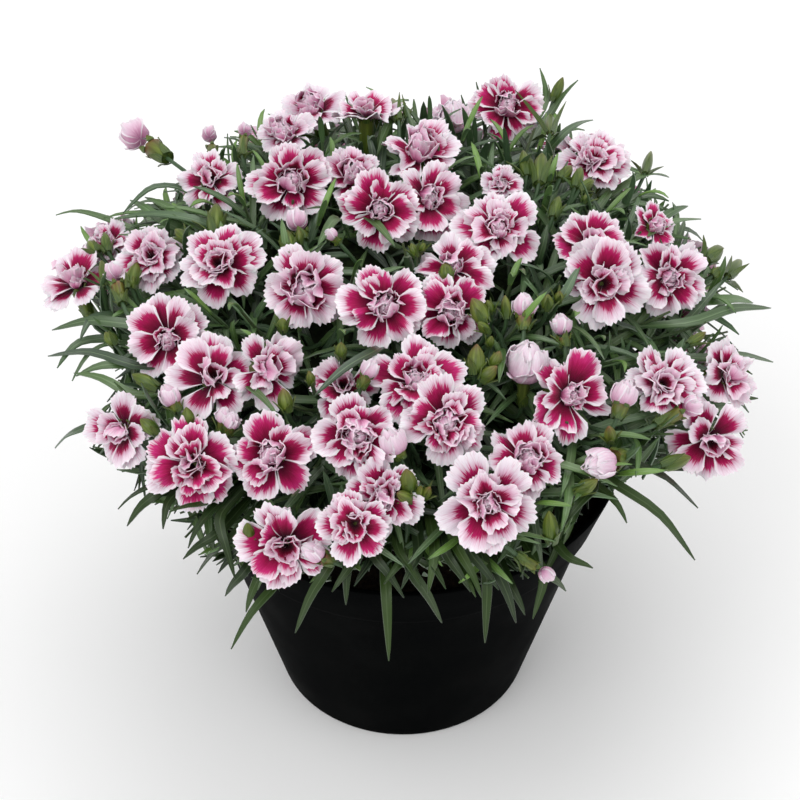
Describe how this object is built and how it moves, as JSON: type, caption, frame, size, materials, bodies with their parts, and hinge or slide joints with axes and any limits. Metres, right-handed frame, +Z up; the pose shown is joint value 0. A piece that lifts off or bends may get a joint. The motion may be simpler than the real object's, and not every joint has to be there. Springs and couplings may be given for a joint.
{
  "type": "potted dianthus plant",
  "caption": "Mound-shaped flowering pink with narrow blue-green leaves and double, toothed crimson and white blooms, in a round tapered nursery pot with a collar.",
  "frame": {"origin": "centre of the flat disc under the pot", "axes": "+Z up the pot's axis, the plant's front towards -Y"},
  "size_m": [0.2752, 0.2819, 0.2417],
  "materials": {
    "pot": "moulded black plastic with a fine grain, slightly dusty",
    "soil": "moist peat-based potting soil with crumbs",
    "foliage": "waxy blue-green leaf with a pale midrib",
    "petal": "velvety petal, crimson at the heart with a white to pale pink edge"
  },
  "bodies": {
    "root": {"pot": "pot", "soil": "soil", "foliage": "foliage", "bloom_01_02": "petal", "bloom_03": "petal", "bloom_04": "petal", "bloom_05": "petal", "bloom_06": "petal", "bloom_07": "petal", "bloom_08": "petal", "bloom_09": "petal", "bloom_10_11": "petal", "bloom_12": "petal", "bloom_13": "petal", "bloom_14": "petal", "bloom_15": "petal", "bloom_16": "petal", "bloom_17": "petal", "bloom_18": "petal", "bloom_19": "petal", "bloom_20": "petal", "bloom_21": "petal", "bloom_22": "petal", "bloom_23": "petal", "bloom_24_25": "petal", "bloom_26": "petal", "bloom_27": "petal", "bloom_28": "petal", "bloom_29": "petal", "bloom_30": "petal", "bloom_31": "petal", "bloom_32_34": "petal", "bloom_33": "petal", "bloom_35_42_43": "petal", "bloom_36": "petal", "bloom_37": "petal", "bloom_38": "petal", "bloom_39": "petal", "bloom_40_41": "petal", "bloom_44": "petal", "bloom_45": "petal", "bloom_46": "petal", "bloom_47": "petal", "bloom_48": "petal", "bloom_49": "petal", "bloom_50": "petal", "bloom_51": "petal", "bloom_52": "petal", "bloom_53": "petal", "bloom_54": "petal", "bloom_55": "petal", "bloom_56": "petal", "bloom_57": "petal", "bloom_58": "petal", "bloom_59": "petal", "bloom_60": "petal", "bloom_61": "petal", "bloom_62": "petal", "bloom_63": "petal", "bloom_64": "petal"}
  },
  "joints": []
}
